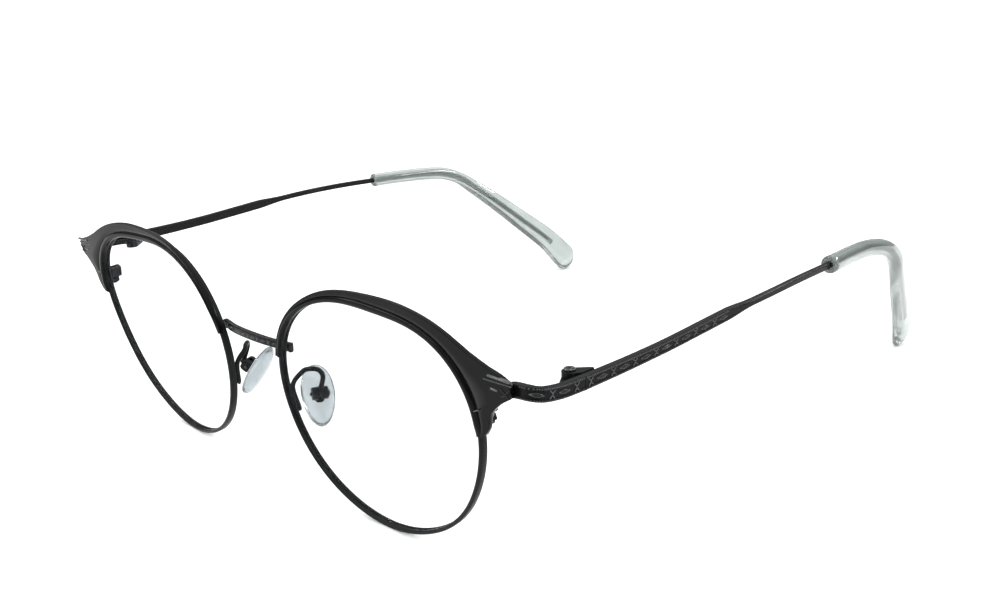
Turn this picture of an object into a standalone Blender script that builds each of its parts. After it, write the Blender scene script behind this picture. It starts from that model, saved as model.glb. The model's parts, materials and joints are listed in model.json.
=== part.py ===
"""Round wire eyeglasses with black metal brow trims, engraved temples and clear temple tips.

Units are metres, +Z is up. The glasses stand on the lower rims and on the ends of the temple tips,
face -Y, and the wearer's left is +X. Sizes below are in millimetres and are turned into metres by MM.
Every node is one closed solid. The right side is the left side mirrored in x = 0.
"""

import math

import bpy
import bmesh
import numpy as np
from mathutils import Vector

MM = 0.001

# ---------------------------------------------------------------- driving dimensions (mm)
ROW_SHIFT = (0.0, -71.43, 0.124)    # moves the lens plane so that the whole object is centred on y = 0
SOLDER_GAP = 0.04                  # clearance left between pieces that are soldered or glued together

# lens planes
LENS_CENTRE = (34.07, 0.0, 21.787)  # boxing centre of the wearer's left lens
FACE_WRAP = math.radians(2.17)     # each lens plane turns back towards the temple
PANTO = math.radians(5.53)         # lens planes lean, lower edge towards the cheek
# aperture radius as a short cosine/sine series about the lens centre, k = 2..6
AP_R0 = 22.59
AP_COS = (2.114, 0.072, -0.244, -0.158, -0.090)
AP_SIN = (0.773, 0.954, 0.235, 0.074, -0.036)
RIM_DISH = 0.0037                  # the rim edge lies off its plane by this times (r^2 - AP_R0^2)

# rims
RIM_T = 0.75                       # radial thickness of the eyewire
RIM_D = 1.45                       # front-to-back depth of the eyewire
RIM_GROOVE = 0.24                  # depth of the V groove that holds the lens
SPLIT_PHI = 15.0                   # where the eyewire is cut for the closing blocks, degrees
SPLIT_GAP = 0.12
RIM_STATIONS = 54

# lenses
LENS_THICK = 1.3
LENS_SAG = 1.5

# brow trims: (angle about the lens centre in degrees, width beyond the aperture)
BROW_WIDTHS = (
    (167.0, 1.15), (158.0, 1.25), (145.0, 1.35), (130.0, 1.58), (118.0, 1.90), (104.0, 2.16),
    (92.0, 2.45), (80.0, 2.85), (69.0, 3.15), (58.0, 3.30), (50.0, 3.58), (44.0, 3.93),
    (39.0, 4.45), (35.0, 5.25), (32.0, 6.20), (29.2, 7.40), (26.6, 9.00), (24.2, 10.25),
    (23.4, 10.40), (20.3, 9.25), (19.7, 7.50), (18.6, 5.90), (17.3, 4.65), (15.2, 3.80),
    (12.3, 3.20), (10.0, 2.30), (9.0, 1.40),
)
BROW_BACK = 0.20                   # the flange behind the flat band reaches back to this offset
BROW_FRONT = 1.12                  # front of the flat band
BEAD_FRONT = 1.38                  # crest of the rounded bead beside the lens
BEAD_W = 0.85

# endpiece and temple arm
BAR_X = 70.50                      # centre plane of the straight part of the bar
BAR_T = 1.30                       # bar thickness
BAR_H0, BAR_H1 = 2.20, 1.95        # bar height at the endpiece and at its rear end
HINGE_X, HINGE_Y, HINGE_Z = 67.90, 10.40, 33.65
BUTT_GAP = 0.10                    # gap between endpiece and temple when open
BAR_END_Y = 49.5                   # the engraved bar stops here
WIRE_R = 0.72                      # core wire radius behind the bar
KNUCKLE_R = 1.28
BORE_R = 0.60
SCREW_R = 0.50

# temple tips
TIP_START_Y = 82.4
TIP_R = 1.74
TIP_BORE_R = 0.82
TIP_GROW = 2.35                    # extra half width at the tip's end
TIP_TWIST = math.radians(20)       # the broad end turns to lie against the head

# bridge
BRIDGE_H, BRIDGE_T = 1.50, 1.05

# nose pads
PAD_CENTRE = (9.75, 5.0, 17.3)
PAD_AXIS = (0.480, -0.257, -0.838)     # long axis, top to bottom
PAD_FACE = (-0.769, 0.336, -0.544)     # outward normal of the face that rests on the nose
PAD_L, PAD_W, PAD_T = 11.8, 6.3, 2.3
PAD_BOX = (2.9, 2.2, 1.9)              # along the screw, along the pad, away from the pad
ARM_R = 0.46                           # radius of the pad arm's wire
ARM_LINE = ((9.45, 2.05, 22.7), (10.3, 2.95, 23.35), (11.6, 4.2, 23.2), (12.45, 4.6, 22.0))


# ---------------------------------------------------------------- scene and helpers
for old in list(bpy.data.objects):
    bpy.data.objects.remove(old)


def material(name, colour, rough, metal, alpha=1.0, coat=0.0, transmission=0.0):
    m = bpy.data.materials.new(name)
    m.use_nodes = True
    bsdf = m.node_tree.nodes["Principled BSDF"]
    bsdf.inputs["Base Color"].default_value = (*colour, 1.0)
    bsdf.inputs["Roughness"].default_value = rough
    bsdf.inputs["Metallic"].default_value = metal
    bsdf.inputs["Coat Weight"].default_value = coat
    bsdf.inputs["Transmission Weight"].default_value = transmission
    bsdf.inputs["Alpha"].default_value = alpha
    return m


SATIN = material("satin_charcoal_metal", (0.022, 0.023, 0.024), 0.38, 0.6)
GLOSS = material("gloss_black_metal", (0.008, 0.008, 0.009), 0.16, 0.3, coat=0.6)
ENGRAVED = material("engraved_black_metal", (0.015, 0.015, 0.016), 0.30, 0.6)
STEEL = material("blackened_screw_steel", (0.05, 0.05, 0.052), 0.30, 0.9)
CLEAR = material("clear_lens", (0.97, 0.99, 0.99), 0.02, 0.0, alpha=0.25, transmission=1.0)
PAD_MAT = material("clear_pad_silicone", (0.80, 0.85, 0.88), 0.12, 0.0, alpha=0.5, transmission=0.8)
TIP_MAT = material("grey_green_translucent_tip", (0.55, 0.60, 0.60), 0.15, 0.0, transmission=0.7)


def vec(p):
    return np.array(p, float)


def unit(v):
    v = np.array(v, float)
    return v / np.linalg.norm(v)


def make(name, points, faces, mat, origin=(0.0, 0.0, 0.0), smooth=40.0):
    """One object from points in mm in the design frame. origin (mm) becomes the object's own origin."""
    shift = vec(ROW_SHIFT)
    o = vec(origin) + shift
    pts = [tuple((vec(p) + shift - o) * MM) for p in points]
    mesh = bpy.data.meshes.new(name)
    mesh.from_pydata(pts, [], [list(f) for f in faces])
    bm = bmesh.new()
    bm.from_mesh(mesh)
    bmesh.ops.remove_doubles(bm, verts=bm.verts, dist=2e-7)
    bmesh.ops.recalc_face_normals(bm, faces=bm.faces)
    if bm.calc_volume(signed=True) < 0:
        bmesh.ops.reverse_faces(bm, faces=bm.faces)
    bm.to_mesh(mesh)
    bm.free()
    mesh.shade_smooth()
    mesh.set_sharp_from_angle(angle=math.radians(smooth))
    mesh.materials.append(mat)
    obj = bpy.data.objects.new(name, mesh)
    obj.location = tuple(o * MM)
    bpy.context.scene.collection.objects.link(obj)
    return obj


def loft(rings, closed=False):
    """Points and faces of a surface through rings of equal length. An open one gets end caps."""
    n = len(rings[0])
    pts = [p for ring in rings for p in ring]
    faces = []
    m = len(rings)
    for i in range(m if closed else m - 1):
        j = (i + 1) % m
        for k in range(n):
            l = (k + 1) % n
            faces.append((i * n + k, i * n + l, j * n + l, j * n + k))
    if not closed:
        faces.append(tuple(range(n))[::-1])
        faces.append(tuple((m - 1) * n + k for k in range(n)))
    return pts, faces


def mirrored(points, side):
    return [(side * p[0], p[1], p[2]) for p in points]


def spline(points, per=6):
    """Points of a smooth curve through the given ones (Catmull-Rom with end tangents)."""
    P = [vec(p) for p in points]
    P = [2 * P[0] - P[1]] + P + [2 * P[-1] - P[-2]]
    out = []
    for i in range(1, len(P) - 2):
        a, b, c, d = P[i - 1], P[i], P[i + 1], P[i + 2]
        for s in range(per):
            t = s / per
            out.append(0.5 * ((2 * b) + (c - a) * t + (2 * a - 5 * b + 4 * c - d) * t * t
                              + (3 * b - a - 3 * c + d) * t ** 3))
    out.append(P[-2])
    return out


def frames(path, up=(0.0, 0.0, 1.0)):
    """(point, side, height, tangent) along a path; height stays as close to up as the path allows."""
    out = []
    for i, p in enumerate(path):
        t = unit(path[min(i + 1, len(path) - 1)] - path[max(i - 1, 0)])
        s = unit(np.cross(t, vec(up)))
        out.append((p, s, np.cross(s, t), t))
    return out


def chamfered(w, h, c):
    """Eight corners of a rectangle w by h with its corners cut by c, in (side, height)."""
    w, h = w / 2, h / 2
    return [(w, -h + c), (w, h - c), (w - c, h), (-w + c, h), (-w, h - c), (-w, -h + c), (-w + c, -h), (w - c, -h)]


def oval(a, b, n, power=2.0):
    out = []
    for k in range(n):
        t = 2 * math.pi * (k + 0.5) / n
        c, s = math.cos(t), math.sin(t)
        out.append((a * math.copysign(abs(c) ** (2 / power), c), b * math.copysign(abs(s) ** (2 / power), s)))
    return out


def section(frame, outline):
    p, s, h, _ = frame
    return [tuple(p + s * a + h * b) for a, b in outline]


# ---------------------------------------------------------------- lens planes
U = vec((math.cos(FACE_WRAP), math.sin(FACE_WRAP), 0.0))
V = vec((0.0, -math.sin(PANTO), math.cos(PANTO)))
V = unit(V - U * (U @ V))
N = np.cross(U, V)                 # points forward, out of the lens


def aperture(phi):
    r = AP_R0
    for i in range(5):
        k = i + 2
        r += AP_COS[i] * math.cos(k * phi) + AP_SIN[i] * math.sin(k * phi)
    return r


def lens_point(phi, rho, d, dish=True):
    """Point at angle phi, rho beyond the aperture edge, d in front of the rim's middle."""
    r0 = aperture(phi)
    bend = RIM_DISH * (r0 * r0 - AP_R0 * AP_R0) if dish else 0.0
    r = r0 + rho
    return tuple(vec(LENS_CENTRE) + U * r * math.cos(phi) + V * r * math.sin(phi) + N * (d + bend))


def lens_frame(phi, rho, d):
    """(point, radial, tangential, forward) at a place on the rim."""
    p = vec(lens_point(phi, rho, d))
    radial = U * math.cos(phi) + V * math.sin(phi)
    tang = -U * math.sin(phi) + V * math.cos(phi)
    return p, radial, tang, N


SIDES = ((1, "left"), (-1, "right"))


# ---------------------------------------------------------------- rims
def rim_ends():
    half_gap = SPLIT_GAP / 2 / 26
    return math.radians(SPLIT_PHI) + half_gap, math.radians(SPLIT_PHI + 360) - half_gap


def build_rim(side, name):
    t, h, g = RIM_T, RIM_D / 2, RIM_GROOVE
    prof = [(0, -h + 0.1), (0, -0.24), (g, 0), (0, 0.24), (0, h - 0.1), (0.1, h), (t - 0.2, h), (t, h - 0.22),
            (t, -h + 0.22), (t - 0.2, -h), (0.1, -h)]
    a0, a1 = rim_ends()
    rings = []
    for i in range(RIM_STATIONS + 1):
        phi = a0 + (a1 - a0) * i / RIM_STATIONS
        rings.append(mirrored([lens_point(phi, r, d) for r, d in prof], side))
    make(name, *loft(rings), SATIN)


# ---------------------------------------------------------------- lenses
def build_lens(side, name):
    n = RIM_STATIONS
    h = LENS_THICK / 2
    gap = 0.07
    c = vec(LENS_CENTRE)

    def dome(phi, r, d):
        r0 = aperture(phi)
        bend = RIM_DISH * (r0 * r0 - AP_R0 * AP_R0)
        share = min(1.0, r / r0)
        bulge = LENS_SAG * (1 - share ** 2)
        return tuple(c + U * r * math.cos(phi) + V * r * math.sin(phi) + N * (d + bend * share ** 3 + bulge))

    a0, a1 = rim_ends()
    phis = [a0 + (a1 - a0) * k / n for k in range(n)]
    rings = []
    for share in (0.08, 0.55):
        rings.append([dome(p, aperture(p) * share, h) for p in phis])
    rings.append([dome(p, aperture(p) - gap, h * 0.55) for p in phis])
    rings.append([dome(p, aperture(p) + RIM_GROOVE - 0.14, 0.0) for p in phis])
    rings.append([dome(p, aperture(p) - gap, -h * 0.55) for p in phis])
    for share in (0.55, 0.08):
        rings.append([dome(p, aperture(p) * share, -h) for p in phis])
    make(name, *loft([mirrored(r, side) for r in rings]), CLEAR)


# ---------------------------------------------------------------- brow trims
def brow_width(deg):
    table = BROW_WIDTHS
    for (a, wa), (b, wb) in zip(table[:-1], table[1:]):
        if b <= deg <= a:
            return wa + (wb - wa) * (a - deg) / (a - b)
    return table[-1][1]


def build_brow(side, name):
    # the trim shares the eyewire's stations, so their facets stay parallel; the lug adds its own corners
    degs = [a for a, _ in BROW_WIDTHS if a < 36.0] + [BROW_WIDTHS[0][0]]
    a0, a1 = rim_ends()
    for i in range(RIM_STATIONS + 1):
        deg = math.degrees(a0 + (a1 - a0) * i / RIM_STATIONS)
        for turn in (deg, deg - 360.0):
            if BROW_WIDTHS[-1][0] < turn < BROW_WIDTHS[0][0] and min(abs(turn - d) for d in degs) > 0.25:
                degs.append(turn)
    degs.sort(reverse=True)
    seat = RIM_D / 2 + SOLDER_GAP
    out = RIM_T + SOLDER_GAP
    rings = []
    for deg in degs:
        w = brow_width(deg)
        phi = math.radians(deg)
        fade = min(1.0, (deg - 9.0) / 5.0, (167.0 - deg) / 9.0)
        crest = BROW_FRONT + (BEAD_FRONT - BROW_FRONT) * max(0.0, fade)
        prof = [(-0.02, seat), (-0.02, crest - 0.32), (0.14, crest - 0.08), (0.40, crest), (0.66, crest - 0.08),
                (BEAD_W, BROW_FRONT - 0.04), (BEAD_W + 0.1, BROW_FRONT), (w - 0.12, BROW_FRONT),
                (w, BROW_FRONT - 0.2), (w, BROW_BACK + 0.15), (w - 0.1, BROW_BACK), (out + 0.02, BROW_BACK), (out, seat)]
        rings.append(mirrored([lens_point(phi, r, d) for r, d in prof], side))
    make(name, *loft(rings), GLOSS)


# ---------------------------------------------------------------- temple line, shared by bar, wire and tip
TEMPLE_LINE = (
    (BAR_X, HINGE_Y + BUTT_GAP / 2, 33.76), (BAR_X, 20.0, 33.84), (BAR_X, 30.0, 34.15), (BAR_X, 40.0, 34.75),
    (BAR_X, BAR_END_Y, 35.35), (70.45, 60.0, 35.75), (69.85, 71.0, 35.85), (68.9, TIP_START_Y, 35.6),
    (67.75, 92.0, 35.3), (66.9, 100.0, 34.75), (66.75, 106.0, 33.75), (66.4, 111.2, 31.7), (65.3, 116.0, 28.3),
    (62.95, 122.0, 23.35), (60.1, 129.2, 17.0), (57.0, 137.3, 9.7), (54.95, 142.75, 3.35),
)
ENDPIECE_LINE_WORLD = ((69.2, 0.12, 35.0), (70.1, 0.95, 34.75), (70.45, 2.6, 34.35), (BAR_X, 6.0, 33.90),
                       (BAR_X, HINGE_Y - BUTT_GAP / 2, 33.76))
TIP_DEPTH = len(TEMPLE_LINE) - 1
PER = 2
TEMPLE_PATH = spline(TEMPLE_LINE, PER)
TEMPLE_FRAMES = frames(TEMPLE_PATH)
BAR_LAST = 4 * PER                 # index of the last full bar section
TIP_FIRST = 7 * PER                # index where the tip starts
WIRE_LAST = 15 * PER               # index where the core wire ends


def twisted(frame, angle):
    """The frame turned about its tangent, its height leaning towards its side."""
    p, s, h, t = frame
    c, d = math.cos(angle), math.sin(angle)
    return p, s * c - h * d, h * c + s * d, t


def build_temple_arm(side, name):
    rings = []
    for i in range(0, WIRE_LAST + 1):
        y = TEMPLE_PATH[i][1]
        if i <= BAR_LAST:
            t = i / BAR_LAST
            h = BAR_H0 + (BAR_H1 - BAR_H0) * min(1.0, t * 2.5)
            out = chamfered(BAR_T, h, 0.16)
        else:
            k = min(1.0, (i - BAR_LAST) / (0.55 * PER))
            r = WIRE_R - 0.12 * max(0.0, (i - TIP_FIRST) / (WIRE_LAST - TIP_FIRST))
            full = chamfered(2 * r, 2 * r, 2 * r * 0.2929)
            flat = chamfered(BAR_T, BAR_H1, 0.16)
            out = [(a[0] * (1 - k) + b[0] * k, a[1] * (1 - k) + b[1] * k) for a, b in zip(flat, full)]
        rings.append(mirrored(section(TEMPLE_FRAMES[i], out), side))
    return make(name, *loft(rings), ENGRAVED, origin=(side * HINGE_X, HINGE_Y, HINGE_Z))


def build_tip(side, name):
    n = 10
    last = len(TEMPLE_FRAMES) - 1
    outer, inner = [], []
    for i in range(TIP_FIRST, last + 1):
        t = (i - TIP_FIRST) / (last - TIP_FIRST)
        grow = max(0.0, (t - 0.42) / 0.58)
        b = TIP_R + TIP_GROW * grow ** 1.3
        a = TIP_R - 0.42 * min(1.0, grow * 1.6)
        outer.append((twisted(TEMPLE_FRAMES[i], TIP_TWIST * min(1.0, 2.0 * grow)), a, b, 2.0 + 0.5 * grow))
    p, s, h, tan = outer[-1][0]
    rings = []
    first = outer[0]
    for lead, share in ((-0.35, 0.80), (-0.18, 0.95)):
        f = (first[0][0] + first[0][3] * lead, first[0][1], first[0][2], first[0][3])
        rings.append(section(f, oval(first[1] * share, first[2] * share, n)))
    for f, a, b, q in outer:
        rings.append(section(f, oval(a, b, n, q)))
    for k in range(1, 4):
        ang = math.pi / 2 * k / 3.3
        f = (p + tan * 3.1 * math.sin(ang), s, h, tan)
        rings.append(section(f, oval(outer[-1][1] * math.cos(ang) ** 0.75, outer[-1][2] * math.cos(ang), n, 2.4)))
    bore = []
    f = (first[0][0] + first[0][3] * -0.35, first[0][1], first[0][2], first[0][3])
    bore.append(section(f, oval(TIP_BORE_R, TIP_BORE_R, n)))
    for i in range(TIP_FIRST, WIRE_LAST + 2):
        bore.append(section(TEMPLE_FRAMES[i], oval(TIP_BORE_R, TIP_BORE_R, n)))
    rings = [mirrored(r, side) for r in rings]
    bore = [mirrored(r, side) for r in bore]
    pts = [q for ring in rings for q in ring]
    base = len(pts)
    pts += [q for ring in bore for q in ring]
    faces = []
    for i in range(len(rings) - 1):
        for k in range(n):
            l = (k + 1) % n
            faces.append((i * n + k, i * n + l, (i + 1) * n + l, (i + 1) * n + k))
    faces.append(tuple((len(rings) - 1) * n + k for k in range(n)))
    for i in range(len(bore) - 1):
        for k in range(n):
            l = (k + 1) % n
            faces.append((base + i * n + k, base + (i + 1) * n + k, base + (i + 1) * n + l, base + i * n + l))
    faces.append(tuple(base + (len(bore) - 1) * n + k for k in range(n))[::-1])
    for k in range(n):
        l = (k + 1) % n
        faces.append((k, base + k, base + l, l))
    return make(name, pts, faces, TIP_MAT, origin=(side * HINGE_X, HINGE_Y, HINGE_Z))


def build_endpiece(side, name):
    root = [lens_point(math.radians(22.4), 4.6, -0.70), lens_point(math.radians(22.0), 7.2, -0.70),
            lens_point(math.radians(21.8), 9.2, -0.70)]
    path = spline(list(root) + [vec(p) for p in ENDPIECE_LINE_WORLD], 2)
    fr = frames(path)
    rings = []
    for i, f in enumerate(fr):
        t = i / (len(fr) - 1)
        h = 2.3 + (BAR_H0 - 2.3) * min(1.0, t * 1.8)
        w = BAR_T
        rings.append(mirrored(section(f, chamfered(w, h, 0.16)), side))
    make(name, *loft(rings), ENGRAVED)


# ---------------------------------------------------------------- plates with a hole, and turned screws
def holed_plate(outline, hole_r, z0, z1, place, holes=10):
    """Points and faces of a convex outline (around 0,0) with a round hole, from z0 to z1, put in place by place(x, y, z)."""
    angles = [2 * math.pi * k / holes for k in range(holes)]
    angles += [math.atan2(y, x) % (2 * math.pi) for x, y in outline]
    angles.sort()
    keep = []
    for a in angles:
        if not keep or a - keep[-1] > 0.02:
            keep.append(a)
    if 2 * math.pi - keep[-1] + keep[0] < 0.02:
        keep.pop()

    def reach(a):
        c, s = math.cos(a), math.sin(a)
        best = 0.0
        m = len(outline)
        for i in range(m):
            x0, y0 = outline[i]
            x1, y1 = outline[(i + 1) % m]
            dx, dy = x1 - x0, y1 - y0
            det = c * dy - s * dx
            if abs(det) < 1e-9:
                continue
            r = (x0 * dy - y0 * dx) / det
            u = (x0 * s - y0 * c) / det
            if r > 0 and -1e-6 <= u <= 1 + 1e-6:
                best = max(best, r)
        return best

    n = len(keep)
    pts = []
    for z in (z0, z1):
        for a in keep:
            r = reach(a)
            pts.append(place(r * math.cos(a), r * math.sin(a), z))
        for a in keep:
            pts.append(place(hole_r * math.cos(a), hole_r * math.sin(a), z))
    faces = []
    for k in range(n):
        l = (k + 1) % n
        faces.append((k, l, 2 * n + l, 2 * n + k))
        faces.append((n + k, 3 * n + k, 3 * n + l, n + l))
        faces.append((k, n + k, n + l, l))
        faces.append((2 * n + k, 2 * n + l, 3 * n + l, 3 * n + k))
    return pts, faces


def hull(points):
    """Convex hull, counter-clockwise."""
    pts = sorted(set((round(x, 5), round(y, 5)) for x, y in points))

    def half(seq):
        out = []
        for p in seq:
            while len(out) > 1 and ((out[-1][0] - out[-2][0]) * (p[1] - out[-2][1])
                                    - (out[-1][1] - out[-2][1]) * (p[0] - out[-2][0])) <= 0:
                out.pop()
            out.append(p)
        return out[:-1]

    return half(pts) + half(pts[::-1])


def turned(profile, place, n=10):
    """A turned solid: profile is (radius, z) from one end to the other, its ends near the axis."""
    rings = []
    for r, z in profile:
        rings.append([place(r * math.cos(2 * math.pi * k / n), r * math.sin(2 * math.pi * k / n), z) for k in range(n)])
    return loft(rings)


def slotted_head(top, radius, shank_r, end):
    """Profile of a cheese-head screw from its point (z = end) up to the top of its head."""
    return [(shank_r * 0.6, end), (shank_r, end + 0.15), (shank_r, top - 0.36), (radius, top - 0.36),
            (radius, top - 0.1), (radius * 0.84, top), (radius * 0.3, top)]


# ---------------------------------------------------------------- temple hinges
Z_LOW, Z_A, Z_B, Z_TOP = -1.45, -0.48, 0.42, 1.42
LEAF_OUT = BAR_X - BAR_T / 2 - SOLDER_GAP - HINGE_X
LEAF_IN = KNUCKLE_R + 0.14


def join(base, extra):
    mod = base.modifiers.new("join", "BOOLEAN")
    mod.operation = "UNION"
    mod.solver = "EXACT"
    mod.object = extra
    extra.hide_render = True
    extra.display_type = "WIRE"


def build_hinge(side, word):
    def place(x, y, z):
        return (side * (HINGE_X + x), HINGE_Y + y, HINGE_Z + z)

    ring = [(KNUCKLE_R * math.cos(2 * math.pi * k / 12), KNUCKLE_R * math.sin(2 * math.pi * k / 12)) for k in range(12)]
    front = hull(ring + [(LEAF_OUT, -0.25), (LEAF_OUT, -4.2), (LEAF_OUT - 0.55, -4.2)])
    pts, faces = holed_plate(front, BORE_R, Z_A, Z_B, place)
    make("hinge_front_leaf_" + word, pts, faces, SATIN, smooth=30.0)

    prong = hull(ring + [(LEAF_OUT, 0.45), (LEAF_OUT, 3.2), (LEAF_OUT - 0.5, 3.2)])
    origin = (side * HINGE_X, HINGE_Y, HINGE_Z)
    pts, faces = holed_plate(prong, BORE_R, Z_LOW, Z_A - 0.06, place)
    leaf = make("hinge_temple_leaf_" + word, pts, faces, SATIN, origin=origin, smooth=30.0)
    pts, faces = holed_plate(prong, BORE_R, Z_B + 0.06, Z_TOP, place)
    upper = make("guide_prong_" + word, pts, faces, SATIN, origin=origin)
    y0, y1 = 0.62, 3.4
    x0, x1 = LEAF_IN, LEAF_OUT - 0.01
    zs = (Z_LOW + 0.02, Z_TOP - 0.02)
    base = [place(x, y, z) for z in zs for x, y in ((x0, y0), (x1, y0), (x1, y1), (x0, y1))]
    web = make("guide_web_" + word, base, [(0, 3, 2, 1), (4, 5, 6, 7), (0, 1, 5, 4), (1, 2, 6, 5), (2, 3, 7, 6), (3, 0, 4, 7)],
               SATIN, origin=origin)
    join(leaf, web)
    join(leaf, upper)

    prof = slotted_head(Z_TOP + 0.42, 0.92, SCREW_R, Z_LOW - 0.05)
    pts, faces = turned(prof, place)
    make("hinge_screw_" + word, pts, faces, STEEL, smooth=30.0)
    return leaf


# ---------------------------------------------------------------- closing blocks and their screws
def build_closing(side, word):
    axis_phi = math.radians(SPLIT_PHI)
    p0, radial, tang, fwd = lens_frame(axis_phi, 0.92, -1.55)

    def place(x, y, z):
        q = p0 + radial * x - fwd * y + tang * z
        return (side * q[0], q[1], q[2])

    back = RIM_D / 2 + SOLDER_GAP - 1.55
    upper = [(-0.86, back), (0.86, back), (0.86, 1.30), (0.60, 1.56), (-0.60, 1.56), (-0.86, 1.30)]
    lower = [(-0.86, back), (0.86, back), (0.86, 0.62), (0.64, 0.84), (-0.64, 0.84), (-0.86, 0.62)]
    pts, faces = holed_plate(upper, 0.40, 0.08, 2.25, place)
    make("closing_block_upper_" + word, pts, faces, SATIN, smooth=30.0)
    pts, faces = holed_plate(lower, 0.40, -1.10, -0.08, place)
    make("closing_block_lower_" + word, pts, faces, SATIN, smooth=30.0)
    pts, faces = turned([(0.2, 2.12), (0.34, 2.0), (0.34, -1.15), (0.62, -1.15), (0.62, -1.38), (0.48, -1.50), (0.18, -1.50)],
                        place, 10)
    make("closing_screw_" + word, pts, faces, STEEL, smooth=30.0)


# ---------------------------------------------------------------- bridge
def build_bridge():
    half = [(0.0, -1.85, 28.85), (4.2, -1.65, 28.80), (7.6, -1.05, 28.65), (9.4, -0.60, 28.60), (11.0, -0.44, 28.55)]
    line = [(-x, y, z) for x, y, z in half[:0:-1]] + half
    path = spline(line, 2)
    rings = []
    fr = frames(path)
    for i, f in enumerate(fr):
        t = abs(2 * i / (len(fr) - 1) - 1)
        h = BRIDGE_H + 0.35 * t ** 6
        rings.append(section(f, chamfered(BRIDGE_T - 0.1 * t, h, 0.22)))
    make("bridge", *loft(rings), ENGRAVED)


# ---------------------------------------------------------------- nose pads
A = unit(PAD_AXIS)
F = unit(vec(PAD_FACE) - A * (vec(PAD_FACE) @ A))
W = np.cross(A, F)
PAD_PIVOT = vec(PAD_CENTRE) - F * (PAD_T / 2 + 1.12)


def build_pad(side, word):
    origin = (side * PAD_PIVOT[0], PAD_PIVOT[1], PAD_PIVOT[2])

    def at(w, a, f):
        q = PAD_PIVOT + W * w + A * a + F * f
        return (side * q[0], q[1], q[2])

    # pad: a domed oval; its flat side carries the metal mount
    f0 = 1.12
    n = 16
    rows = []
    for share, f in ((0.86, 0.0), (1.0, 0.5), (0.96, 1.05), (0.80, 1.6), (0.50, 2.08), (0.18, PAD_T)):
        rows.append([at(PAD_W / 2 * share * math.cos(t) * (1 - 0.10 * math.sin(t)), PAD_L / 2 * share * math.sin(t), f0 + f)
                     for t in (2 * math.pi * k / n for k in range(n))])
    make("nose_pad_" + word, *loft(rows), PAD_MAT, origin=origin)

    # mount: a flat tab with a hole for the screw, standing on a small plate
    def tab(x, y, z):
        return at(z, x, y)

    tab_out = [(-0.72, 0.90), (-0.72, -0.30), (-0.42, -0.70), (0.42, -0.70), (0.72, -0.30), (0.72, 0.90)]
    pts, faces = holed_plate(tab_out, 0.40, -0.42, 0.42, tab, 8)
    mount = make("pad_mount_" + word, pts, faces, STEEL, origin=origin, smooth=30.0)
    x0, y0, z0, x1, y1, z1 = -1.5, 0.86, -0.95, 1.5, f0 - SOLDER_GAP, 0.95
    base = [tab(x, y, z) for z in (z0, z1) for x, y in ((x0, y0), (x1, y0), (x1, y1), (x0, y1))]
    plate = make("guide_plate_" + word, base, [(0, 3, 2, 1), (4, 5, 6, 7), (0, 1, 5, 4), (1, 2, 6, 5), (2, 3, 7, 6), (3, 0, 4, 7)],
                 STEEL, origin=origin)
    join(mount, plate)

    # box: a U-shaped cup soldered to the arm, its two ears either side of the tab
    bw, bl, bd = PAD_BOX
    ear_out = [(-bl / 2, 0.40), (-bl / 2, -0.75), (-bl / 2 + 0.3, -bd + 0.62), (bl / 2 - 0.3, -bd + 0.62), (bl / 2, -0.75), (bl / 2, 0.40), (bl / 2 - 0.25, 0.62), (-bl / 2 + 0.25, 0.62)]
    pts, faces = holed_plate(ear_out, 0.40, 0.50, bw / 2, tab, 8)
    box = make("pad_box_" + word, pts, faces, SATIN, smooth=30.0)
    pts, faces = holed_plate(ear_out, 0.40, -bw / 2, -0.50, tab, 8)
    other = make("guide_ear_" + word, pts, faces, SATIN)
    x0, y0, x1, y1 = -bl / 2 + 0.02, -bd + 0.64, bl / 2 - 0.02, -0.86
    web_pts = [tab(x, y, z) for z in (-bw / 2 + 0.02, bw / 2 - 0.02) for x, y in ((x0 + 0.3, y0), (x1 - 0.3, y0), (x1, y1), (x0, y1))]
    web = make("guide_back_" + word, web_pts, [(0, 3, 2, 1), (4, 5, 6, 7), (0, 1, 5, 4), (1, 2, 6, 5), (2, 3, 7, 6), (3, 0, 4, 7)], SATIN)
    join(box, web)
    join(box, other)

    pts, faces = turned([(0.16, bw / 2 + 0.42), (0.46, bw / 2 + 0.40), (0.56, bw / 2 + 0.28), (0.56, bw / 2 + 0.04), (0.33, bw / 2 + 0.04),
                         (0.33, -bw / 2 - 0.25), (0.2, -bw / 2 - 0.36)], tab, 8)
    make("pad_screw_" + word, pts, faces, STEEL, smooth=30.0)

    # arm: a round wire from its foot on the rim, up and over, down to the back of the box
    foot = lens_point(math.radians(183.0), 0.42, -RIM_D / 2 - SOLDER_GAP - ARM_R - 0.04)
    foot_low = lens_point(math.radians(194.0), 0.42, -RIM_D / 2 - SOLDER_GAP - ARM_R - 0.04)
    end = PAD_PIVOT + F * (-bd + 0.62 - ARM_R - SOLDER_GAP)
    line = [foot_low, foot] + [vec(p) for p in ARM_LINE] + [end - A * 0.3, end + A * 0.8]
    path = spline(line, 3)
    rings = []
    for f in frames(path, up=(0.9, -0.3, 0.15)):
        rings.append(mirrored(section(f, oval(ARM_R, ARM_R, 6)), side))
    make("pad_arm_" + word, *loft(rings), SATIN)


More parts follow.
